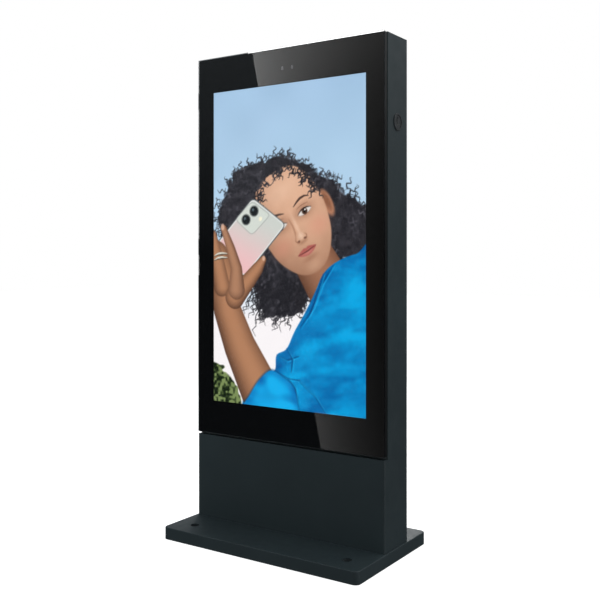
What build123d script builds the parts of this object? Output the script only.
"""Floor-standing touchscreen kiosk: a bolted-down base, a folded steel cabinet and a glazed front door
that carries the display. Millimetres, +Z up, origin on the floor at the middle of the base. The glass
faces -Y. The door swings about a vertical axis at the cabinet's left front edge, and a key in the right
side raises a latch bar that holds three keepers on the door."""

import os

from build123d import *

os.makedirs("parts", exist_ok=True)

# ---- overall sizes -------------------------------------------------------------------------------
cabinet_width = 830.0
overall_height = 1850.0
overall_depth = 175.0          # face of the glass to the rear panel
base_side_reach = 6.0          # base beyond each side of the cabinet
base_depth = 520.0
base_thick = 45.0
base_front_reach = 200.0       # base in front of the glass

# ---- display -------------------------------------------------------------------------------------
screen_width = 680.4           # picture area of a 55 inch panel, 16:9, upright
screen_height = 1209.6
screen_top_margin = 136.4      # picture to the top of the glass
screen_low_margin = 129.0      # picture to the bottom of the glass

# ---- sheet, gaps and fits ------------------------------------------------------------------------
sheet = 2.0
corner_radius = 7.0
seat_gap = 0.3                 # between pieces of different bodies
running_gap = 0.05             # radial, pin in a moving barrel
panel_inset = 4.0              # rear panel edge to the cabinet's outline

# ---- door ----------------------------------------------------------------------------------------
glass_thick = 6.0
glass_lift = 8.0               # glass above the lower panel
glass_radius = 3.0
border_thick = 0.8
frame_depth = 15.2
frame_ring = 50.0
door_gap = 2.0                 # rear of the door frame to the cabinet's edge
door_inset = 2.0               # glass edge to the door frame's outer wall
gasket_width = 10.0
gasket_inset = 11.0            # door frame's outer wall to the gasket

# ---- places that follow from them ----------------------------------------------------------------
front_y = -base_depth / 2 + base_front_reach
rear_y = front_y + overall_depth
half_width = cabinet_width / 2
base_width = cabinet_width + 2 * base_side_reach
inner_x = half_width - sheet
glass_rear_y = front_y + glass_thick
border_rear_y = glass_rear_y + border_thick
frame_rear_y = border_rear_y + frame_depth
jamb_y = frame_rear_y + door_gap
flange_y = rear_y - sheet
inner_rear_y = flange_y - sheet
screen_bottom = overall_height - screen_top_margin - screen_height
glass_bottom = screen_bottom - screen_low_margin
lower_top_z = glass_bottom - glass_lift
screen_mid_z = screen_bottom + screen_height / 2
glass_mid_z = (glass_bottom + overall_height) / 2
glass_height = overall_height - glass_bottom


def facing(y):
    """Plane at depth y that faces the front: local axes are +X and +Z, and it extrudes forwards."""
    return Plane.XZ.offset(-y)


def from_right(x):
    """Plane at x that faces the right: local axes are +Y and +Z, and it extrudes to the right."""
    return Plane.YZ.offset(x)


def between(x0, x1, y0, y1, mode=Mode.ADD):
    """Rectangle from one corner to the other, on the sketch that is open."""
    with Locations(((x0 + x1) / 2, (y0 + y1) / 2)):
        Rectangle(x1 - x0, y1 - y0, mode=mode)


def circles(places, radius, mode=Mode.ADD):
    """One circle at each place, on the sketch that is open."""
    with Locations(*places):
        Circle(radius, mode=mode)


def finish(builder, label):
    """Name the finished piece and write it to its own file."""
    builder.part.label = label
    export_step(builder.part, f"parts/{label}.step")


# =====================================================================================================
# Base: a hollow plinth with four anchor cups, a cable opening and inner ribs
# =====================================================================================================
base_sheet = 4.0
base_corner = 20.0
base_edge_round = 3.0
anchor_inset_x = 87.0
anchor_inset_y = 84.0
anchor_x = base_width / 2 - anchor_inset_x
anchor_y = base_depth / 2 - anchor_inset_y
anchor_places = [(x, y) for x in (-anchor_x, anchor_x) for y in (-anchor_y, anchor_y)]
cup_bore = 17.0
cup_wall = 4.0
cup_floor = 8.0
anchor_hole = 9.0
cable_length = 140.0
cable_width = 70.0
cable_y = 30.0
cable_corner = 12.0
floor_bolt_x = half_width - 85.0
floor_bolt_hole = 5.5
floor_bolt_inner_x = 150.0
floor_bolt_rows = (front_y + 24, inner_rear_y - 50)
floor_bolt_columns = (-floor_bolt_x, -floor_bolt_inner_x, floor_bolt_inner_x, floor_bolt_x)
floor_bolt_places = [(x, y) for x in floor_bolt_columns for y in floor_bolt_rows]

with BuildPart() as base_cover:
    with BuildSketch():
        RectangleRounded(base_width, base_depth, base_corner)
    extrude(amount=base_thick)
    fillet(base_cover.faces().sort_by(Axis.Z)[-1].edges(), base_edge_round)
    with BuildSketch():
        RectangleRounded(base_width - 2 * base_sheet, base_depth - 2 * base_sheet, base_corner - base_sheet)
    extrude(amount=base_thick - base_sheet, mode=Mode.SUBTRACT)
    with BuildSketch(Plane.XY.offset(base_thick - base_sheet)):
        circles(anchor_places, cup_bore)
        circles(floor_bolt_places, floor_bolt_hole)
        with Locations((0, cable_y)):
            RectangleRounded(cable_length, cable_width, cable_corner)
    extrude(amount=base_sheet, mode=Mode.SUBTRACT)
finish(base_cover, "base_cover")

with BuildPart() as anchor_cups:
    with BuildSketch():
        circles(anchor_places, cup_bore + cup_wall)
    extrude(amount=base_thick - base_sheet)
    with BuildSketch(Plane.XY.offset(cup_floor)):
        circles(anchor_places, cup_bore)
    extrude(amount=base_thick, mode=Mode.SUBTRACT)
    with BuildSketch():
        circles(anchor_places, anchor_hole)
    extrude(amount=cup_floor, mode=Mode.SUBTRACT)
finish(anchor_cups, "anchor_cups")

rib_thick = 6.0
rib_front_y = front_y - rib_thick - 8
rib_rear_y = rear_y + 8
rib_cross_x = 200.0
rib_half = base_width / 2 - base_sheet

with BuildPart() as base_ribs:
    with BuildSketch():
        between(-rib_half, rib_half, rib_front_y, rib_front_y + rib_thick)
        between(-rib_half, rib_half, rib_rear_y, rib_rear_y + rib_thick)
        for side in (-1, 1):
            middle = side * rib_cross_x
            between(middle - rib_thick / 2, middle + rib_thick / 2, rib_front_y + rib_thick, rib_rear_y)
    extrude(amount=base_thick - base_sheet)
finish(base_ribs, "base_ribs")

# =====================================================================================================
# Cabinet: one folded skin, top, rear panel, floor, posts and the jamb the door closes on
# =====================================================================================================
flange = 22.0
floor_plate_thick = 3.0
jamb_side = 27.0
jamb_bottom = 35.0
post = 26.0
post_wall = 2.0
post_x = inner_x - 2.0 - post / 2
post_y = inner_rear_y - post / 2

hinge_axis_x = -half_width - 1.0
hinge_axis_y = jamb_y - 1.0
hinge_radius = 4.5
hinge_half = 32.0
hinge_pin_radius = 2.5
hinge_low_z = glass_bottom + 155.0
hinge_high_z = overall_height - 160.0
hinge_heights = (hinge_low_z, (hinge_low_z + hinge_high_z) / 2, hinge_high_z)

lock_y = front_y + 98.0
lock_z = overall_height - 305.0
lock_barrel_radius = 10.5

screw_radius = 2.4
screw_clear = 2.7
screw_inset = 16.0
screw_rows = 6
screw_span = overall_height - base_thick - 2 * 40.0
screw_mid_z = (overall_height + base_thick) / 2
rear_screw_x = half_width - screw_inset


def rear_screw_places():
    """The screws down both edges of the rear panel, as (x, z)."""
    step = screw_span / (screw_rows - 1)
    heights = [screw_mid_z - screw_span / 2 + i * step for i in range(screw_rows)]
    return [(x, z) for x in (-rear_screw_x, rear_screw_x) for z in heights]


with BuildPart() as cabinet_skin:
    with BuildSketch(Plane.XY.offset(base_thick)) as skin_plan:
        between(-half_width, half_width, front_y, flange_y)
        fillet(skin_plan.vertices().group_by(Axis.Y)[0], corner_radius)
        with BuildSketch(mode=Mode.SUBTRACT) as skin_hollow:
            between(-inner_x, inner_x, front_y + sheet, flange_y)
            fillet(skin_hollow.vertices().group_by(Axis.Y)[0], corner_radius - sheet)
        for side in (-1, 1):
            edge = side * (inner_x - flange)
            between(min(edge, side * inner_x), max(edge, side * inner_x), inner_rear_y, flange_y)
    extrude(amount=overall_height - base_thick)
    with BuildSketch(Plane.XY.offset(lower_top_z)):
        between(-half_width, half_width, front_y, jamb_y)
    extrude(amount=overall_height - lower_top_z, mode=Mode.SUBTRACT)
    with BuildSketch(Plane.XY.offset(lower_top_z - sheet)):
        between(-inner_x, inner_x, front_y + sheet, jamb_y + sheet)
    extrude(amount=sheet)
    with BuildSketch(from_right(inner_x)):
        circles([(lock_y, lock_z)], lock_barrel_radius)
    extrude(amount=sheet, mode=Mode.SUBTRACT)
    with BuildSketch(facing(flange_y)):
        circles(rear_screw_places(), screw_clear)
    extrude(amount=sheet, mode=Mode.SUBTRACT)
    for z in hinge_heights:
        with BuildSketch(Plane.XY.offset(z - hinge_half)):
            circles([(hinge_axis_x, hinge_axis_y)], hinge_radius)
        extrude(amount=hinge_half, mode=Mode.SUBTRACT)
        with BuildSketch(Plane.XY.offset(z)):
            circles([(hinge_axis_x, hinge_axis_y)], hinge_radius + seat_gap)
        extrude(amount=hinge_half + seat_gap, mode=Mode.SUBTRACT)
finish(cabinet_skin, "cabinet_skin")

top_flange_drop = 18.0
top_flange_gap = 2.0

with BuildPart() as top_panel:
    with BuildSketch(Plane.XY.offset(overall_height - sheet)):
        between(-inner_x, inner_x, jamb_y, inner_rear_y)
        between(-inner_x + flange, inner_x - flange, inner_rear_y, flange_y)
    extrude(amount=sheet)
    with BuildSketch(Plane.XY.offset(overall_height - sheet - top_flange_drop)):
        between(-inner_x + flange + top_flange_gap, inner_x - flange - top_flange_gap,
                inner_rear_y - sheet, inner_rear_y)
    extrude(amount=top_flange_drop)
finish(top_panel, "top_panel")

jamb_top_z = overall_height - sheet
jamb_stiffener = 14.0

with BuildPart() as door_jamb:
    with BuildSketch(facing(jamb_y + sheet)):
        between(-inner_x, inner_x, lower_top_z, jamb_top_z)
        between(-inner_x + jamb_side, inner_x - jamb_side, lower_top_z + jamb_bottom, jamb_top_z - jamb_side,
                mode=Mode.SUBTRACT)
    extrude(amount=sheet)
    for side in (-1, 1):
        stiffener_x = side * (inner_x - jamb_side + sheet / 2)
        with BuildSketch(facing(jamb_y + sheet + jamb_stiffener)):
            between(stiffener_x - sheet / 2, stiffener_x + sheet / 2, lower_top_z + jamb_bottom,
                    jamb_top_z - jamb_side)
        extrude(amount=jamb_stiffener)
    for z in hinge_heights:
        with BuildSketch(Plane.XY.offset(z - hinge_half)):
            circles([(hinge_axis_x, hinge_axis_y)], hinge_radius + seat_gap)
        extrude(amount=2 * hinge_half + seat_gap, mode=Mode.SUBTRACT)
finish(door_jamb, "door_jamb")

with BuildPart() as floor_plate:
    with BuildSketch(Plane.XY.offset(base_thick)):
        between(-inner_x, inner_x, front_y + sheet, inner_rear_y)
        for side in (-1, 1):
            notch = side * (inner_x - corner_radius)
            between(min(notch, side * inner_x), max(notch, side * inner_x), front_y + sheet,
                    front_y + sheet + corner_radius, mode=Mode.SUBTRACT)
        circles(floor_bolt_places, floor_bolt_hole, mode=Mode.SUBTRACT)
        with Locations((0, cable_y)):
            RectangleRounded(cable_length, cable_width, cable_corner, mode=Mode.SUBTRACT)
    extrude(amount=floor_plate_thick)
finish(floor_plate, "floor_plate")

grommet_lip = 4.0
grommet_wall = 3.0
grommet_round = 1.4
floor_top_z = base_thick + floor_plate_thick

with BuildPart() as cable_grommet:
    with BuildSketch(Plane.XY.offset(base_thick - base_sheet)):
        with Locations((0, cable_y)):
            RectangleRounded(cable_length, cable_width, cable_corner)
    extrude(amount=base_sheet + floor_plate_thick)
    with BuildSketch(Plane.XY.offset(floor_top_z)):
        with Locations((0, cable_y)):
            RectangleRounded(cable_length + 2 * grommet_lip, cable_width + 2 * grommet_lip,
                             cable_corner + grommet_lip)
    extrude(amount=grommet_wall)
    with BuildSketch(Plane.XY.offset(base_thick - base_sheet)):
        with Locations((0, cable_y)):
            RectangleRounded(cable_length - 2 * grommet_wall, cable_width - 2 * grommet_wall,
                             cable_corner - grommet_wall)
    extrude(amount=base_thick, mode=Mode.SUBTRACT)
    fillet(cable_grommet.faces().sort_by(Axis.Z)[-1].outer_wire().edges(), grommet_round)
finish(cable_grommet, "cable_grommet")

floor_bolt_shank = 5.0
floor_bolt_head = 8.5
floor_bolt_head_thick = 6.5
floor_bolt_reach = 10.0
floor_washer_thick = 2.0

with BuildPart() as floor_bolts:
    with BuildSketch(Plane.XY.offset(base_thick - base_sheet - floor_bolt_reach)):
        circles(floor_bolt_places, floor_bolt_shank)
    extrude(amount=floor_bolt_reach + base_sheet + floor_plate_thick)
    with BuildSketch(Plane.XY.offset(floor_top_z)):
        circles(floor_bolt_places, floor_bolt_head + floor_washer_thick)
    extrude(amount=floor_washer_thick)
    with BuildSketch(Plane.XY.offset(floor_top_z + floor_washer_thick)):
        with Locations(*floor_bolt_places):
            RegularPolygon(floor_bolt_head, 6, major_radius=False)
    extrude(amount=floor_bolt_head_thick)
finish(floor_bolts, "floor_bolts")

# ---- rear panel with pressed louvres --------------------------------------------------------------
louvre_width = 110.0
louvre_pitch = 20.0
louvre_reach = 7.0
louvre_open = 8.0
louvre_wall = 1.5
louvre_rise = louvre_open / 2 + louvre_wall
louvre_tip_y = rear_y + louvre_reach
louvre_rows = 7
louvre_columns_x = (-130.0, 130.0)
fan_z = overall_height - 165.0
intake_z = base_thick + 220.0


def louvre_places(middle_z):
    """Centres of one block of louvres, two columns wide, as (x, z)."""
    heights = [middle_z + (i - (louvre_rows - 1) / 2) * louvre_pitch for i in range(louvre_rows)]
    return [(x, z) for x in louvre_columns_x for z in heights]


with BuildPart() as rear_panel:
    with BuildSketch(facing(rear_y)):
        between(-half_width + panel_inset, half_width - panel_inset, base_thick + panel_inset,
                overall_height - panel_inset)
    extrude(amount=sheet)
    for block_z in (fan_z, intake_z):
        with BuildSketch(facing(rear_y)):
            with Locations(*louvre_places(block_z)):
                Rectangle(louvre_width, louvre_open)
        extrude(amount=sheet, mode=Mode.SUBTRACT)
    with BuildSketch(facing(rear_y)):
        circles(rear_screw_places(), screw_clear)
    extrude(amount=sheet, mode=Mode.SUBTRACT)
    for x in louvre_columns_x:
        rows = [z for block_z in (fan_z, intake_z) for column_x, z in louvre_places(block_z) if column_x == x]
        with BuildSketch(from_right(x - louvre_width / 2 - louvre_wall)):
            for z in rows:
                with BuildLine():
                    Polyline((rear_y, z + louvre_rise), (louvre_tip_y, z - louvre_open / 2),
                             (louvre_tip_y - louvre_wall, z - louvre_open / 2),
                             (rear_y, z + louvre_rise - 1.5 * louvre_wall), close=True)
                make_face()
        extrude(amount=louvre_width + 2 * louvre_wall)
        for end_x in (x - louvre_width / 2 - louvre_wall, x + louvre_width / 2):
            with BuildSketch(from_right(end_x)):
                for z in rows:
                    with BuildLine():
                        Polyline((rear_y, z + louvre_rise), (louvre_tip_y, z - louvre_open / 2),
                                 (rear_y, z - louvre_open / 2), close=True)
                    make_face()
            extrude(amount=louvre_wall)
finish(rear_panel, "rear_panel")

screw_head_thick = 3.0
screw_head_round = 1.6
screw_socket = 1.5
screw_socket_depth = 1.8
rear_screw_reach = 8.0

with BuildPart() as rear_panel_screws:
    with BuildSketch(facing(rear_y)):
        circles(rear_screw_places(), screw_radius)
    extrude(amount=2 * sheet + rear_screw_reach)
    with BuildSketch(facing(rear_y + screw_head_thick)):
        circles(rear_screw_places(), 2 * screw_radius)
    extrude(amount=screw_head_thick)
    fillet(rear_panel_screws.edges().filter_by(GeomType.CIRCLE).group_by(Axis.Y)[-1],
           screw_head_round)
    with BuildSketch(facing(rear_y + screw_head_thick)):
        with Locations(*rear_screw_places()):
            RegularPolygon(screw_socket, 6, major_radius=False)
    extrude(amount=screw_socket_depth, mode=Mode.SUBTRACT)
finish(rear_panel_screws, "rear_panel_screws")

post_corner = 3.0
post_inner_corner = 1.0
post_bottom_z = floor_top_z
post_top_z = overall_height - sheet - 20
post_holes = [(x, z) for x, z in rear_screw_places() if z < post_top_z]

with BuildPart() as rear_posts:
    with BuildSketch(Plane.XY.offset(post_bottom_z)):
        with Locations((-post_x, post_y), (post_x, post_y)):
            RectangleRounded(post, post, post_corner)
            RectangleRounded(post - 2 * post_wall, post - 2 * post_wall, post_inner_corner,
                             mode=Mode.SUBTRACT)
    extrude(amount=post_top_z - post_bottom_z)
    with BuildSketch(facing(inner_rear_y)):
        circles(post_holes, screw_clear)
    extrude(amount=post_wall, mode=Mode.SUBTRACT)
finish(rear_posts, "rear_posts")

rail_half = post_x - post / 2
rail_heights = (post_bottom_z + post / 2, post_top_z - post / 2)

with BuildPart() as cross_rails:
    with BuildSketch(from_right(-rail_half)):
        for z in rail_heights:
            with Locations((post_y, z)):
                RectangleRounded(post, post, post_corner)
                RectangleRounded(post - 2 * post_wall, post - 2 * post_wall, post_inner_corner,
                             mode=Mode.SUBTRACT)
    extrude(amount=2 * rail_half)
finish(cross_rails, "cross_rails")

# =====================================================================================================
# Door hinges: weld-on barrels, the lower half on the cabinet and the upper half on the door
# =====================================================================================================
pin_engagement = 24.0

with BuildPart() as cabinet_hinge_barrels:
    for z in hinge_heights:
        with BuildSketch(Plane.XY.offset(z - hinge_half)):
            circles([(hinge_axis_x, hinge_axis_y)], hinge_radius)
        extrude(amount=hinge_half - seat_gap)
        with BuildSketch(Plane.XY.offset(z - pin_engagement)):
            circles([(hinge_axis_x, hinge_axis_y)], hinge_pin_radius)
        extrude(amount=pin_engagement, mode=Mode.SUBTRACT)
finish(cabinet_hinge_barrels, "cabinet_hinge_barrels")

with BuildPart() as hinge_pins:
    for z in hinge_heights:
        with BuildSketch(Plane.XY.offset(z - pin_engagement)):
            circles([(hinge_axis_x, hinge_axis_y)], hinge_pin_radius)
        extrude(amount=2 * pin_engagement)
finish(hinge_pins, "hinge_pins")

with BuildPart() as door_hinge_barrels:
    for z in hinge_heights:
        with BuildSketch(Plane.XY.offset(z)):
            circles([(hinge_axis_x, hinge_axis_y)], hinge_radius)
        extrude(amount=hinge_half)
        with BuildSketch(Plane.XY.offset(z)):
            circles([(hinge_axis_x, hinge_axis_y)], hinge_pin_radius + running_gap)
        extrude(amount=pin_engagement + seat_gap, mode=Mode.SUBTRACT)
finish(door_hinge_barrels, "door_hinge_barrels")

# =====================================================================================================
# Door: glass, printed border, folded frame, gasket and touch sensor
# =====================================================================================================
door_half = half_width - door_inset
door_low = glass_bottom + door_inset
door_high = overall_height - door_inset
ring_half = door_half - frame_ring
ring_low = door_low + frame_ring
ring_high = door_high - frame_ring
sensor_z = overall_height - 79.0
sensor_places = [(-12.0, sensor_z), (31.0, sensor_z)]
sensor_width = 9.0
sensor_height = 15.0
sensor_rim = 2.0
sensor_play = 0.5
module_depth = 9.0
light_module_size = (26.0, 28.0)
camera_module_size = (30.0, 30.0)
camera_module_shift = 2.0
glass_chamfer = 0.8

with BuildPart() as door_glass:
    with BuildSketch(facing(glass_rear_y)):
        with Locations((0, glass_mid_z)):
            RectangleRounded(cabinet_width, glass_height, glass_radius)
    extrude(amount=glass_thick)
    chamfer(door_glass.faces().sort_by(Axis.Y)[0].edges(), glass_chamfer)
finish(door_glass, "door_glass")

with BuildPart() as glass_border:
    with BuildSketch(facing(border_rear_y)):
        with Locations((0, glass_mid_z)):
            RectangleRounded(2 * door_half, door_high - door_low, glass_radius)
        with Locations((0, screen_mid_z)):
            Rectangle(screen_width, screen_height, mode=Mode.SUBTRACT)
        with Locations(*sensor_places):
            SlotOverall(sensor_height, sensor_width, rotation=90, mode=Mode.SUBTRACT)
    extrude(amount=border_thick)
finish(glass_border, "glass_border")

with BuildPart() as door_frame:
    with BuildSketch(facing(border_rear_y + sheet)):
        between(-door_half, door_half, door_low, door_high)
        between(-ring_half, ring_half, ring_low, ring_high, mode=Mode.SUBTRACT)
        with Locations(*sensor_places):
            SlotOverall(sensor_height + 2 * sensor_rim, sensor_width + 2 * sensor_rim, rotation=90,
                        mode=Mode.SUBTRACT)
    extrude(amount=sheet)
    with BuildSketch(facing(frame_rear_y)):
        between(-door_half, door_half, door_low, door_high)
        between(-door_half + sheet, door_half - sheet, door_low + sheet, door_high - sheet,
                mode=Mode.SUBTRACT)
        between(-ring_half - sheet, ring_half + sheet, ring_low - sheet, ring_high + sheet)
        between(-ring_half, ring_half, ring_low, ring_high, mode=Mode.SUBTRACT)
    extrude(amount=frame_depth - sheet)
    for z in hinge_heights:
        with BuildSketch(Plane.XY.offset(z - hinge_half - seat_gap)):
            circles([(hinge_axis_x, hinge_axis_y)], hinge_radius + seat_gap)
        extrude(amount=hinge_half + seat_gap, mode=Mode.SUBTRACT)
        with BuildSketch(Plane.XY.offset(z)):
            circles([(hinge_axis_x, hinge_axis_y)], hinge_radius)
        extrude(amount=hinge_half, mode=Mode.SUBTRACT)
finish(door_frame, "door_frame")

gasket_out_half = door_half - gasket_inset
gasket_low = door_low + gasket_inset
gasket_high = door_high - gasket_inset
gasket_round = 3.0

with BuildPart() as door_gasket:
    with BuildSketch(facing(jamb_y - seat_gap)):
        between(-gasket_out_half, gasket_out_half, gasket_low, gasket_high)
        between(-gasket_out_half + gasket_width, gasket_out_half - gasket_width,
                gasket_low + gasket_width, gasket_high - gasket_width, mode=Mode.SUBTRACT)
    extrude(amount=jamb_y - seat_gap - border_rear_y - sheet)
    fillet(door_gasket.faces().sort_by(Axis.Y)[-1].edges(), gasket_round)
finish(door_gasket, "door_gasket")

touch_margin = 12.0
touch_thick = 1.4

with BuildPart() as touch_sensor:
    with BuildSketch(facing(border_rear_y + touch_thick)):
        with Locations((0, screen_mid_z)):
            Rectangle(screen_width + 2 * touch_margin, screen_height + 2 * touch_margin)
    extrude(amount=touch_thick)
finish(touch_sensor, "touch_sensor")

# ---- display module on the door ---------------------------------------------------------------------
picture_thick = 0.5
picture_gap = 0.2
lcd_lip = 11.0
lcd_depth = 26.0
picture_y = border_rear_y + touch_thick + picture_gap
bezel_rear_y = picture_y + picture_thick + lcd_depth
lcd_half = screen_width / 2 + lcd_lip
lcd_low = screen_bottom - lcd_lip
lcd_high = screen_bottom + screen_height + lcd_lip
lcd_wall = 1.2

with BuildPart() as lcd_picture:
    with BuildSketch(facing(picture_y + picture_thick)):
        with Locations((0, screen_mid_z)):
            Rectangle(screen_width, screen_height)
    extrude(amount=picture_thick)
finish(lcd_picture, "lcd_picture")

with BuildPart() as lcd_bezel:
    with BuildSketch(facing(bezel_rear_y)):
        between(-lcd_half, lcd_half, lcd_low, lcd_high)
        between(-lcd_half + lcd_wall, lcd_half - lcd_wall, lcd_low + lcd_wall, lcd_high - lcd_wall,
                mode=Mode.SUBTRACT)
    extrude(amount=lcd_depth)
    with BuildSketch(facing(picture_y + picture_thick)):
        between(-lcd_half, lcd_half, lcd_low, lcd_high)
        with Locations((0, screen_mid_z)):
            Rectangle(screen_width, screen_height, mode=Mode.SUBTRACT)
    extrude(amount=picture_thick)
finish(lcd_bezel, "lcd_bezel")

with BuildPart() as lcd_chassis:
    with BuildSketch(facing(bezel_rear_y)):
        between(-lcd_half + lcd_wall, lcd_half - lcd_wall, lcd_low + lcd_wall, lcd_high - lcd_wall)
    extrude(amount=lcd_depth)
finish(lcd_chassis, "lcd_chassis")

cover_depth = 9.0
cover_width = 460.0
cover_height = 620.0
cover_z = screen_mid_z - 60.0
cover_corner = 14.0
cover_round = 4.0
vent_inset = 60.0
vent_pitch = 16.0
vent_count = 20
vent_length = 50.0
vent_width = 6.0
vent_depth = 2.0
vent_rows = (cover_z + cover_height / 2 - vent_inset, cover_z - cover_height / 2 + vent_inset)

with BuildPart() as lcd_rear_cover:
    with BuildSketch(facing(bezel_rear_y)):
        with Locations((0, cover_z)):
            RectangleRounded(cover_width, cover_height, cover_corner)
    extrude(amount=-cover_depth)
    fillet(lcd_rear_cover.faces().sort_by(Axis.Y)[-1].edges(), cover_round)
    with BuildSketch(facing(bezel_rear_y + cover_depth)):
        with Locations(*[(0, z) for z in vent_rows]):
            with GridLocations(vent_pitch, 0, vent_count, 1):
                SlotOverall(vent_length, vent_width, rotation=90)
    extrude(amount=vent_depth, mode=Mode.SUBTRACT)
finish(lcd_rear_cover, "lcd_rear_cover")

bracket_width = 60.0
bracket_thick = 3.0
bracket_heights = [screen_bottom + screen_height * share for share in (0.12, 0.5, 0.88)]
bracket_reach = lcd_half - 40.0
bracket_step_x = ring_half + 1.0
bracket_end_x = bracket_step_x + 7.0

with BuildPart() as lcd_brackets:
    for side in (-1, 1):
        for z in bracket_heights:
            with BuildSketch(Plane.XY.offset(z - bracket_width / 2)):
                with BuildLine():
                    Polyline((side * bracket_reach, bezel_rear_y),
                             (side * bracket_reach, bezel_rear_y + bracket_thick),
                             (side * bracket_step_x, bezel_rear_y + bracket_thick),
                             (side * bracket_step_x, frame_rear_y + bracket_thick),
                             (side * bracket_end_x, frame_rear_y + bracket_thick),
                             (side * bracket_end_x, frame_rear_y),
                             (side * (bracket_step_x - bracket_thick), frame_rear_y),
                             (side * (bracket_step_x - bracket_thick), bezel_rear_y), close=True)
                make_face()
            extrude(amount=bracket_width)
finish(lcd_brackets, "lcd_brackets")

controller_size = (120.0, 60.0)
controller_corner = 3.0
controller_round = 2.0
controller_depth = 16.0
controller_z = lcd_low + 70.0

with BuildPart() as touch_controller:
    with BuildSketch(facing(bezel_rear_y)):
        with Locations((0, controller_z)):
            RectangleRounded(*controller_size, controller_corner)
    extrude(amount=-controller_depth)
    fillet(touch_controller.faces().sort_by(Axis.Y)[-1].edges(), controller_round)
finish(touch_controller, "touch_controller")

module_y = border_rear_y + sheet

with BuildPart() as light_sensor:
    with BuildSketch(facing(border_rear_y)):
        with Locations(sensor_places[0]):
            SlotOverall(sensor_height - 2 * sensor_play, sensor_width - 2 * sensor_play, rotation=90)
    extrude(amount=border_thick)
    with BuildSketch(facing(module_y)):
        with Locations(sensor_places[0]):
            SlotOverall(sensor_height, sensor_width, rotation=90)
    extrude(amount=sheet)
    with BuildSketch(facing(module_y + module_depth)):
        with Locations(sensor_places[0]):
            Rectangle(*light_module_size)
    extrude(amount=module_depth)
finish(light_sensor, "light_sensor")

with BuildPart() as presence_camera:
    with BuildSketch(facing(border_rear_y)):
        with Locations(sensor_places[1]):
            SlotOverall(sensor_height - 2 * sensor_play, sensor_width - 2 * sensor_play, rotation=90)
    extrude(amount=border_thick)
    with BuildSketch(facing(module_y)):
        with Locations(sensor_places[1]):
            SlotOverall(sensor_height, sensor_width, rotation=90)
    extrude(amount=sheet)
    with BuildSketch(facing(module_y + module_depth)):
        with Locations((sensor_places[1][0] + camera_module_shift, sensor_z)):
            Rectangle(*camera_module_size)
    extrude(amount=module_depth)
finish(presence_camera, "presence_camera")

# =====================================================================================================
# Lock and latch: key core, cam, sliding bar with three hooks, and the keepers on the door
# =====================================================================================================
escutcheon_radius = 31.0
escutcheon_proud = 4.0
dish_radius = 25.0
core_radius = 8.0
barrel_end_x = inner_x - 30.0
cam_thick = 3.0
cam_arm = 16.0
cam_pin_radius = 3.0
bar_thick = 4.0
bar_width = 26.0
bar_gap = 3.0
cam_x = barrel_end_x - seat_gap - cam_thick
bar_x = cam_x - bar_gap - bar_thick
bar_y = lock_y
bar_low = glass_bottom + 65.0
bar_high = overall_height - 60.0
latch_travel = 2 * cam_arm * 2 ** -0.5
cam_rest_y = lock_y + cam_arm * 2 ** -0.5
cam_rest_z = lock_z - cam_arm * 2 ** -0.5
slot_play = 0.65               # the pin follows an arc while the bar rises evenly
dish_depth = 2.0
rim_round = 1.5
cover_pivot_z = lock_z + 15.0
cover_pin_radius = 1.5
cover_pin_length = 2.4
keyhole_cover_radius = 9.0
keyhole_cover_eye = 5.0
keyhole_cover_thick = 1.6
nut_across = 30.0
nut_thick = 6.0
keyway_depth = 12.0
keyway_size = (2.2, 9.0)
keyway_ward = (3.6, 2.4)
cam_hub_radius = 10.0
cam_nose_radius = 6.0
cam_pin_reach = 2.0
outer_face_x = half_width + escutcheon_proud
dish_x = outer_face_x - dish_depth

with BuildPart() as lock_escutcheon:
    with BuildSketch(from_right(half_width)):
        circles([(lock_y, lock_z)], escutcheon_radius)
    extrude(amount=escutcheon_proud)
    fillet(lock_escutcheon.faces().sort_by(Axis.X)[-1].edges(), rim_round)
    with BuildSketch(from_right(dish_x)):
        circles([(lock_y, lock_z)], dish_radius)
    extrude(amount=dish_depth, mode=Mode.SUBTRACT)
    with BuildSketch(from_right(half_width)):
        circles([(lock_y, lock_z)], lock_barrel_radius)
    extrude(amount=escutcheon_proud, mode=Mode.SUBTRACT)
    with BuildSketch(from_right(dish_x)):
        circles([(lock_y, cover_pivot_z)], cover_pin_radius)
    extrude(amount=cover_pin_length)
finish(lock_escutcheon, "lock_escutcheon")

with BuildPart() as lock_barrel:
    with BuildSketch(from_right(barrel_end_x)):
        circles([(lock_y, lock_z)], lock_barrel_radius)
        circles([(lock_y, lock_z)], core_radius + running_gap, mode=Mode.SUBTRACT)
    extrude(amount=dish_x - barrel_end_x)
finish(lock_barrel, "lock_barrel")

with BuildPart() as lock_nut:
    with BuildSketch(from_right(inner_x - nut_thick)):
        with Locations((lock_y, lock_z)):
            RegularPolygon(nut_across / 2, 6, major_radius=False)
        circles([(lock_y, lock_z)], lock_barrel_radius, mode=Mode.SUBTRACT)
    extrude(amount=nut_thick)
finish(lock_nut, "lock_nut")

with BuildPart() as lock_core:
    with BuildSketch(from_right(barrel_end_x - seat_gap)):
        circles([(lock_y, lock_z)], core_radius)
    extrude(amount=dish_x - barrel_end_x + seat_gap)
    with BuildSketch(from_right(dish_x - keyway_depth)):
        with Locations((lock_y, lock_z)):
            Rectangle(*keyway_size)
            Rectangle(*keyway_ward)
    extrude(amount=keyway_depth, mode=Mode.SUBTRACT)
finish(lock_core, "lock_core")

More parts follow.
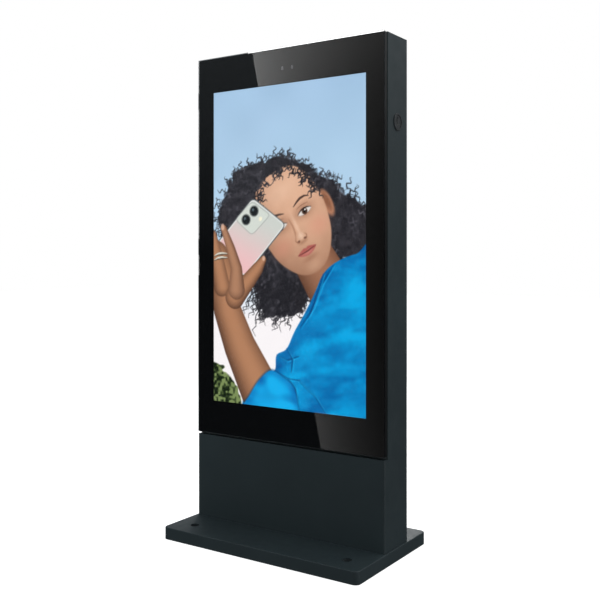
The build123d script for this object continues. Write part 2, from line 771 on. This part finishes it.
with BuildPart() as lock_cam:
    with BuildSketch(from_right(cam_x)):
        circles([(lock_y, lock_z)], cam_hub_radius)
        circles([(cam_rest_y, cam_rest_z)], cam_nose_radius)
        make_hull()
    extrude(amount=cam_thick)
    with BuildSketch(from_right(bar_x - cam_pin_reach)):
        circles([(cam_rest_y, cam_rest_z)], cam_pin_radius)
    extrude(amount=cam_x - bar_x + cam_pin_reach)
finish(lock_cam, "lock_cam")

hook_reach_y = front_y + 42.0
hook_lip = 6.0
hook_thick = 12.0
keeper_pin_radius = 3.0
keeper_pin_y = hook_reach_y + hook_lip + keeper_pin_radius + 1.5
keeper_heights = [overall_height - drop for drop in (1050.0, 590.0, 140.0)]
lip_rise = 9.0

with BuildPart() as latch_bar:
    with BuildSketch(from_right(bar_x)):
        between(bar_y, bar_y + bar_width, bar_low, bar_high)
        for z in keeper_heights:
            arm_top = z - keeper_pin_radius - latch_travel - 1.0
            between(hook_reach_y, bar_y, arm_top - hook_thick, arm_top)
            between(hook_reach_y, hook_reach_y + hook_lip, arm_top, arm_top + lip_rise + hook_lip)
        with Locations(((lock_y + cam_arm + cam_rest_y) / 2, cam_rest_z)):
            SlotOverall(cam_arm - cam_rest_y + lock_y + 2 * (cam_pin_radius + slot_play),
                        2 * (cam_pin_radius + slot_play), mode=Mode.SUBTRACT)
    extrude(amount=bar_thick)
finish(latch_bar, "latch_bar")

guide_heights = (bar_low + 30.0, overall_height - 750.0, bar_high - 30.0)
guide_thick = 3.0
guide_gap = 0.4
guide_inner_x = bar_x - 4.0
guide_side = 8.0
guide_tab_height = 22.0

with BuildPart() as latch_guides:
    for z in guide_heights:
        with BuildSketch(Plane.XY.offset(z)):
            between(guide_inner_x, inner_x, bar_y - guide_side, bar_y + bar_width + guide_side)
            between(bar_x - guide_gap, bar_x + bar_thick + guide_gap,
                    bar_y - guide_gap, bar_y + bar_width + guide_gap, mode=Mode.SUBTRACT)
        extrude(amount=guide_thick)
        with BuildSketch(Plane.XY.offset(z + guide_thick)):
            between(inner_x - guide_thick, inner_x, bar_y - guide_side, bar_y + bar_width + guide_side)
        extrude(amount=guide_tab_height)
finish(latch_guides, "latch_guides")

keeper_cheek = 3.0
keeper_side_gap = 0.7
keeper_inner_x = ring_half + sheet + keeper_side_gap
keeper_outer_x = bar_x + bar_thick + 4.0
keeper_half = 14.0
keeper_nose = 8.0

with BuildPart() as latch_keepers:
    for z in keeper_heights:
        for cheek_x in (keeper_inner_x, keeper_outer_x):
            with BuildSketch(from_right(cheek_x)):
                between(border_rear_y + sheet, keeper_pin_y + keeper_nose, z - keeper_half, z + keeper_half)
            extrude(amount=keeper_cheek)
        with BuildSketch(from_right(keeper_inner_x)):
            between(frame_rear_y, frame_rear_y + keeper_cheek, z - keeper_half, z + keeper_half)
        extrude(amount=keeper_outer_x + keeper_cheek - keeper_inner_x)
        with BuildSketch(from_right(keeper_inner_x)):
            circles([(keeper_pin_y, z)], keeper_pin_radius)
        extrude(amount=keeper_outer_x + keeper_cheek - keeper_inner_x)
finish(latch_keepers, "latch_keepers")

with BuildPart() as keyhole_cover:
    with BuildSketch(from_right(dish_x + seat_gap)):
        circles([(lock_y, lock_z)], keyhole_cover_radius)
        circles([(lock_y, cover_pivot_z)], keyhole_cover_eye)
        make_hull()
        circles([(lock_y, cover_pivot_z)], cover_pin_radius + running_gap, mode=Mode.SUBTRACT)
    extrude(amount=keyhole_cover_thick)
finish(keyhole_cover, "keyhole_cover")

# =====================================================================================================
# Equipment inside: plate, rail and its devices, power supply, player, drivers
# =====================================================================================================
plate_thick = 2.0
plate_rear_y = post_y - post / 2
plate_front_y = plate_rear_y - plate_thick
plate_half = post_x + post / 2 - 2
plate_low = glass_bottom + 75.0
plate_high = overall_height - 370.0
plate_screw_rows = (plate_low + 25, (plate_low + plate_high) / 2, plate_high - 25)
plate_screw_places = [(x, z) for x in (-post_x, post_x) for z in plate_screw_rows]
plate_slot_x = 300.0
plate_slot_size = (80.0, 24.0)
plate_slot_drop = 100.0
plate_slot_rise = 170.0
plate_slot_places = [(x, plate_high - plate_slot_drop) for x in (-plate_slot_x, 0, plate_slot_x)]
plate_slot_places += [(x, plate_low + plate_slot_rise) for x in (-plate_slot_x, plate_slot_x)]

with BuildPart() as equipment_plate:
    with BuildSketch(facing(plate_rear_y)):
        between(-plate_half, plate_half, plate_low, plate_high)
        circles(plate_screw_places, screw_clear, mode=Mode.SUBTRACT)
        with Locations(*plate_slot_places):
            SlotOverall(*plate_slot_size, mode=Mode.SUBTRACT)
    extrude(amount=plate_thick)
finish(equipment_plate, "equipment_plate")

with BuildPart() as plate_screws:
    with BuildSketch(facing(plate_rear_y)):
        circles(plate_screw_places, screw_radius)
    extrude(amount=plate_thick)
    with BuildSketch(facing(plate_front_y)):
        circles(plate_screw_places, 2 * screw_radius)
    extrude(amount=screw_head_thick)
    with BuildSketch(facing(plate_front_y - screw_head_thick)):
        with Locations(*plate_screw_places):
            RegularPolygon(screw_socket, 6, major_radius=False)
    extrude(amount=-screw_socket_depth, mode=Mode.SUBTRACT)
finish(plate_screws, "plate_screws")

rail_z = plate_low + 90.0
rail_length = 420.0
rail_height = 35.0
rail_depth = 7.5
rail_web_half = 12.5
rail_sheet = 1.0
rail_front_y = plate_front_y - rail_depth

with BuildPart() as din_rail:
    with BuildSketch(from_right(-rail_length / 2)):
        between(plate_front_y - rail_sheet, plate_front_y, rail_z - rail_web_half, rail_z + rail_web_half)
        for side in (-1, 1):
            web = rail_z + side * rail_web_half
            edge = rail_z + side * rail_height / 2
            between(rail_front_y, plate_front_y, min(web, web - side * rail_sheet),
                    max(web, web - side * rail_sheet))
            between(rail_front_y, rail_front_y + rail_sheet, min(web, edge), max(web, edge))
    extrude(amount=rail_length)
finish(din_rail, "din_rail")

device_height = 85.0
device_nose = 45.0
breaker_x = -180.0
breaker_width = 36.0
breaker_depth = 54.0
breaker_front_y = rail_front_y - breaker_depth
surge_width = 54.0
surge_x = breaker_x + (breaker_width + surge_width) / 2 + 4.0
thermostat_x = 80.0
thermostat_width = 36.0
thermostat_depth = 48.0
lever_hub = 6.0
lever_pivot_y = breaker_front_y + 7.0
lever_width = 17.0
lever_slot_height = 30.0
lever_slot_depth = 14.0
lever_angle = 145.0
lever_arm = 20.0
lever_thick = 5.0
shoulder_share = 0.72
surge_window_size = (8.0, 5.0)
surge_window_depth = 1.5
surge_window_rise = 10.0


def device_side(depth):
    """Side view of a moulded rail device: a tall body behind and a narrower nose in front."""
    shoulder_y = rail_front_y - depth * shoulder_share
    between(shoulder_y, rail_front_y, rail_z - device_height / 2, rail_z + device_height / 2)
    between(rail_front_y - depth, shoulder_y, rail_z - device_nose / 2, rail_z + device_nose / 2)


with BuildPart() as breaker_body:
    with BuildSketch(from_right(breaker_x - breaker_width / 2)):
        device_side(breaker_depth)
    extrude(amount=breaker_width)
    with BuildSketch(facing(breaker_front_y + lever_slot_depth)):
        with Locations((breaker_x, rail_z)):
            Rectangle(lever_width + 1, lever_slot_height)
    extrude(amount=lever_slot_depth, mode=Mode.SUBTRACT)
finish(breaker_body, "breaker_body")

with BuildPart() as breaker_lever:
    with BuildSketch(from_right(breaker_x - lever_width / 2)):
        circles([(lever_pivot_y, rail_z)], lever_hub)
        with Locations(Location((lever_pivot_y, rail_z), lever_angle)):
            with Locations((lever_arm / 2, 0)):
                Rectangle(lever_arm, lever_thick)
    extrude(amount=lever_width)
finish(breaker_lever, "breaker_lever")

with BuildPart() as surge_protector:
    with BuildSketch(from_right(surge_x - surge_width / 2)):
        device_side(breaker_depth)
    extrude(amount=surge_width)
    with BuildSketch(facing(breaker_front_y)):
        with Locations((surge_x, rail_z + surge_window_rise)):
            with GridLocations(surge_width / 3, 0, 3, 1):
                Rectangle(*surge_window_size)
    extrude(amount=-surge_window_depth, mode=Mode.SUBTRACT)
finish(surge_protector, "surge_protector")

terminal_pitch = 9.0
terminal_count = 10
terminal_left_x = -60.0
terminal_step = 30.0
terminal_depth = 40.0
terminal_half = 25.0
terminal_nose_half = 12.0
terminal_hole = 2.6
terminal_hole_depth = 8.0
terminal_row_gap = 38.0

with BuildPart() as terminal_block:
    with BuildSketch(from_right(terminal_left_x)):
        between(rail_front_y - terminal_step, rail_front_y, rail_z - terminal_half,
                rail_z + terminal_half)
        between(rail_front_y - terminal_depth, rail_front_y - terminal_step,
                rail_z - terminal_nose_half, rail_z + terminal_nose_half)
    extrude(amount=terminal_pitch * terminal_count)
    with BuildSketch(facing(rail_front_y - terminal_step)):
        with Locations((terminal_left_x + terminal_pitch * terminal_count / 2, rail_z)):
            with GridLocations(terminal_pitch, terminal_row_gap, terminal_count, 2):
                Circle(terminal_hole)
    extrude(amount=-terminal_hole_depth, mode=Mode.SUBTRACT)
finish(terminal_block, "terminal_block")

dial_radius = 11.0
dial_wall = 2.0
dial_proud = 1.2

with BuildPart() as thermostat:
    with BuildSketch(from_right(thermostat_x - thermostat_width / 2)):
        device_side(thermostat_depth)
    extrude(amount=thermostat_width)
    with BuildSketch(facing(rail_front_y - thermostat_depth)):
        with Locations((thermostat_x, rail_z)):
            Circle(dial_radius)
            Circle(dial_radius - dial_wall, mode=Mode.SUBTRACT)
    extrude(amount=dial_proud)
finish(thermostat, "thermostat")

supply_width = 215.0
supply_height = 115.0
supply_depth = 50.0
supply_x = -160.0
supply_z = rail_z + 200.0
supply_bevel = 3.0
supply_vent_shift = 10.0
supply_vent_pitch = 9.0
supply_vent_columns = 16
supply_vent_rows = 9
supply_vent_radius = 3.2
supply_vent_depth = 1.5

with BuildPart() as power_supply:
    with BuildSketch(facing(plate_front_y)):
        with Locations((supply_x, supply_z)):
            Rectangle(supply_width, supply_height)
    extrude(amount=supply_depth)
    chamfer(power_supply.edges().filter_by(Axis.X).group_by(Axis.Y)[0], supply_bevel)
    with BuildSketch(facing(plate_front_y - supply_depth)):
        with Locations((supply_x + supply_vent_shift, supply_z)):
            with GridLocations(supply_vent_pitch, supply_vent_pitch, supply_vent_columns, supply_vent_rows):
                RegularPolygon(supply_vent_radius, 6)
    extrude(amount=-supply_vent_depth, mode=Mode.SUBTRACT)
finish(power_supply, "power_supply")

player_width = 200.0
player_height = 150.0
player_depth = 36.0
player_x = 170.0
player_z = rail_z + 205.0
player_front_y = plate_front_y - player_depth
button_x = player_x + 75.0
button_z = player_z + 50.0
button_radius = 6.0
button_travel = 1.5
button_proud = 0.5
button_well = 5.0
button_play = 0.3
button_round = 0.8
player_corner = 6.0
player_groove_pitch = 7.0
player_groove_width = 3.0
player_groove_count = 20
player_groove_depth = 4.0
player_groove_inset = 10.0

with BuildPart() as media_player:
    with BuildSketch(facing(plate_front_y)):
        with Locations((player_x, player_z)):
            RectangleRounded(player_width, player_height, player_corner)
    extrude(amount=player_depth)
    with BuildSketch(facing(player_front_y)):
        with Locations((player_x - player_groove_inset, player_z)):
            with GridLocations(player_groove_pitch, 0, player_groove_count, 1):
                Rectangle(player_groove_width, player_height - 2 * player_groove_inset)
    extrude(amount=-player_groove_depth, mode=Mode.SUBTRACT)
    with BuildSketch(facing(player_front_y)):
        circles([(button_x, button_z)], button_radius + button_play)
    extrude(amount=-button_well, mode=Mode.SUBTRACT)
finish(media_player, "media_player")

with BuildPart() as player_button:
    with BuildSketch(facing(player_front_y + button_well - button_travel - button_proud)):
        circles([(button_x, button_z)], button_radius)
    extrude(amount=button_well)
    fillet(player_button.faces().sort_by(Axis.Y)[0].edges(), button_round)
finish(player_button, "player_button")

lcd_driver_place = (-130.0, plate_low + 560.0)
lcd_driver_width = 300.0
lcd_driver_height = 130.0
lcd_driver_depth = 22.0
lcd_driver_ear = 15.0
lcd_driver_ear_height = 90.0
lcd_driver_ear_thick = 2.0
backlight_driver_place = (190.0, plate_low + 580.0)
backlight_driver_depth = 34.0
backlight_driver_size = (120.0, 190.0)
fin_pitch = 10.0
fin_gap = 5.0
fin_count = 10
fin_length = 170.0
fin_depth = 12.0

with BuildPart() as lcd_driver:
    with BuildSketch(facing(plate_front_y)):
        with Locations(lcd_driver_place):
            Rectangle(lcd_driver_width, lcd_driver_height)
    extrude(amount=lcd_driver_depth)
    with BuildSketch(facing(plate_front_y)):
        with Locations(lcd_driver_place):
            Rectangle(lcd_driver_width + 2 * lcd_driver_ear, lcd_driver_ear_height)
    extrude(amount=lcd_driver_ear_thick)
finish(lcd_driver, "lcd_driver")

with BuildPart() as backlight_driver:
    with BuildSketch(facing(plate_front_y)):
        with Locations(backlight_driver_place):
            Rectangle(*backlight_driver_size)
    extrude(amount=backlight_driver_depth)
    with BuildSketch(facing(plate_front_y - backlight_driver_depth)):
        with Locations(backlight_driver_place):
            with GridLocations(fin_pitch, 0, fin_count, 1):
                Rectangle(fin_gap, fin_length)
    extrude(amount=-fin_depth, mode=Mode.SUBTRACT)
finish(backlight_driver, "backlight_driver")

earth_place = (-240.0, inner_rear_y - 40.0)
stud_radius = 3.0
stud_height = 28.0
stud_nut_half = 5.0
stud_nut_thick = 5.0
stud_nut_pitch = 9.0

with BuildPart() as earth_stud:
    with BuildSketch(Plane.XY.offset(floor_top_z)):
        circles([earth_place], stud_radius)
    extrude(amount=stud_height)
    for z in (floor_top_z, floor_top_z + stud_nut_pitch):
        with BuildSketch(Plane.XY.offset(z)):
            with Locations(earth_place):
                RegularPolygon(stud_nut_half, 6, major_radius=False)
        extrude(amount=stud_nut_thick)
finish(earth_stud, "earth_stud")

# =====================================================================================================
# Cooling: two fans behind the upper louvres, and a filter cassette behind the lower ones
# =====================================================================================================
fan_size = 120.0
fan_depth = 25.0
fan_bore = 58.0
fan_places = [(-130.0, fan_z), (130.0, fan_z)]
fan_rear_y = flange_y
fan_front_y = fan_rear_y - fan_depth
motor_radius = 21.0
rotor_radius = 54.0
shaft_radius = 2.0
fan_corner = 6.0
fan_hole_pitch = 105.0
fan_hole = 2.2
fan_arm = 4.0
fan_plate = 4.0
guard_radii = (14.0, 28.0, 42.0, 56.0)
guard_wire = 2.0
guard_span = 150.0
rotor_gap = 1.0
rotor_front_gap = 2.0
shaft_inset = 0.5
shaft_length = 6.0
blade_count = 7
blade_thick = 1.8
blade_depth = 20.0
blade_pitch = 40.0
blade_middle = 14.0
blade_root = 1.0

with BuildPart() as fan_frames:
    with BuildSketch(facing(fan_rear_y)):
        with Locations(*fan_places):
            RectangleRounded(fan_size, fan_size, fan_corner)
        circles(fan_places, fan_bore, mode=Mode.SUBTRACT)
        for fan_x, z in fan_places:
            with Locations((fan_x, z)):
                with GridLocations(fan_hole_pitch, fan_hole_pitch, 2, 2):
                    Circle(fan_hole, mode=Mode.SUBTRACT)
    extrude(amount=fan_depth)
    with BuildSketch(facing(fan_rear_y)):
        circles(fan_places, motor_radius)
        for fan_x, z in fan_places:
            with Locations((fan_x, z)):
                Rectangle(2 * fan_bore + 1, fan_arm)
                Rectangle(fan_arm, 2 * fan_bore + 1)
    extrude(amount=fan_plate)
    with BuildSketch(facing(fan_rear_y)):
        circles(fan_places, shaft_radius + running_gap)
    extrude(amount=fan_plate, mode=Mode.SUBTRACT)
finish(fan_frames, "fan_frames")

with BuildPart() as fan_guards:
    with BuildSketch(facing(fan_front_y)):
        for radius in guard_radii:
            circles(fan_places, radius)
            circles(fan_places, radius - guard_wire, mode=Mode.SUBTRACT)
        for fan_x, z in fan_places:
            with Locations((fan_x, z)):
                Rectangle(guard_span, guard_wire, rotation=45)
                Rectangle(guard_span, guard_wire, rotation=-45)
    extrude(amount=guard_wire)
finish(fan_guards, "fan_guards")

for fan_name, (fan_x, fan_mid_z) in zip(("fan_rotor_left", "fan_rotor_right"), fan_places):
    with BuildPart() as fan_rotor:
        with BuildSketch(facing(fan_rear_y - fan_plate - rotor_gap)):
            circles([(fan_x, fan_mid_z)], motor_radius)
        extrude(amount=fan_depth - fan_plate - rotor_gap - rotor_front_gap)
        with BuildSketch(facing(fan_rear_y - shaft_inset)):
            circles([(fan_x, fan_mid_z)], shaft_radius)
        extrude(amount=shaft_length)
        with Locations(facing(fan_rear_y - blade_middle)):
            with Locations((fan_x, fan_mid_z)):
                with PolarLocations((rotor_radius + motor_radius) / 2 - blade_root, blade_count):
                    Box(rotor_radius - motor_radius + 2 * blade_root, blade_thick, blade_depth,
                        rotation=(blade_pitch, 0, 0))
    finish(fan_rotor, fan_name)

filter_half = 205.0
filter_height = 180.0
filter_low = intake_z - filter_height / 2
filter_front_y = inner_rear_y - 16.0
filter_rear_y = inner_rear_y - 3.0
filter_frame = 12.0
filter_lip = 8.0
filter_wall = 2.0
filter_foot = 6.0
filter_rail_rise = 20.0
filter_bar = 1.5
filter_bar_columns = (-100.0, 0.0, 100.0)
filter_web = 2.0
pull_half = 40.0
pull_low = 8.0
pull_high = 16.0

with BuildPart() as filter_rails:
    for side in (-1, 1):
        wall = side * (filter_half + seat_gap)
        lip = side * (filter_half - filter_lip)
        outer = side * (filter_half + seat_gap + filter_wall)
        with BuildSketch(Plane.XY.offset(filter_low - filter_foot)):
            between(min(wall, outer), max(wall, outer), filter_front_y - seat_gap - filter_wall, flange_y)
            between(min(lip, outer), max(lip, outer), filter_front_y - seat_gap - filter_wall,
                    filter_front_y - seat_gap)
        extrude(amount=filter_height + filter_foot + filter_rail_rise)
    with BuildSketch(Plane.XY.offset(filter_low - filter_foot)):
        between(-filter_half - seat_gap, filter_half + seat_gap, filter_front_y - seat_gap, flange_y)
    extrude(amount=filter_foot)
finish(filter_rails, "filter_rails")

with BuildPart() as filter_cassette:
    with BuildSketch(facing(filter_rear_y)):
        between(-filter_half, filter_half, filter_low, filter_low + filter_height)
        between(-filter_half + filter_frame, filter_half - filter_frame, filter_low + filter_frame,
                filter_low + filter_height - filter_frame, mode=Mode.SUBTRACT)
    extrude(amount=filter_rear_y - filter_front_y)
    with BuildSketch(facing(filter_front_y)):
        between(-filter_half + filter_frame, filter_half - filter_frame, intake_z - filter_bar,
                intake_z + filter_bar)
        for x in filter_bar_columns:
            between(x - filter_bar, x + filter_bar, filter_low + filter_frame,
                    filter_low + filter_height - filter_frame)
    extrude(amount=-filter_web)
    with BuildSketch(facing(filter_front_y)):
        between(-pull_half, pull_half, filter_low + filter_height - pull_low,
                filter_low + filter_height + pull_high)
    extrude(amount=-filter_web)
finish(filter_cassette, "filter_cassette")

with BuildPart() as filter_media:
    with BuildSketch(facing(filter_rear_y)):
        between(-filter_half + filter_frame, filter_half - filter_frame, filter_low + filter_frame,
                filter_low + filter_height - filter_frame)
    extrude(amount=filter_rear_y - filter_front_y - filter_web)
finish(filter_media, "filter_media")
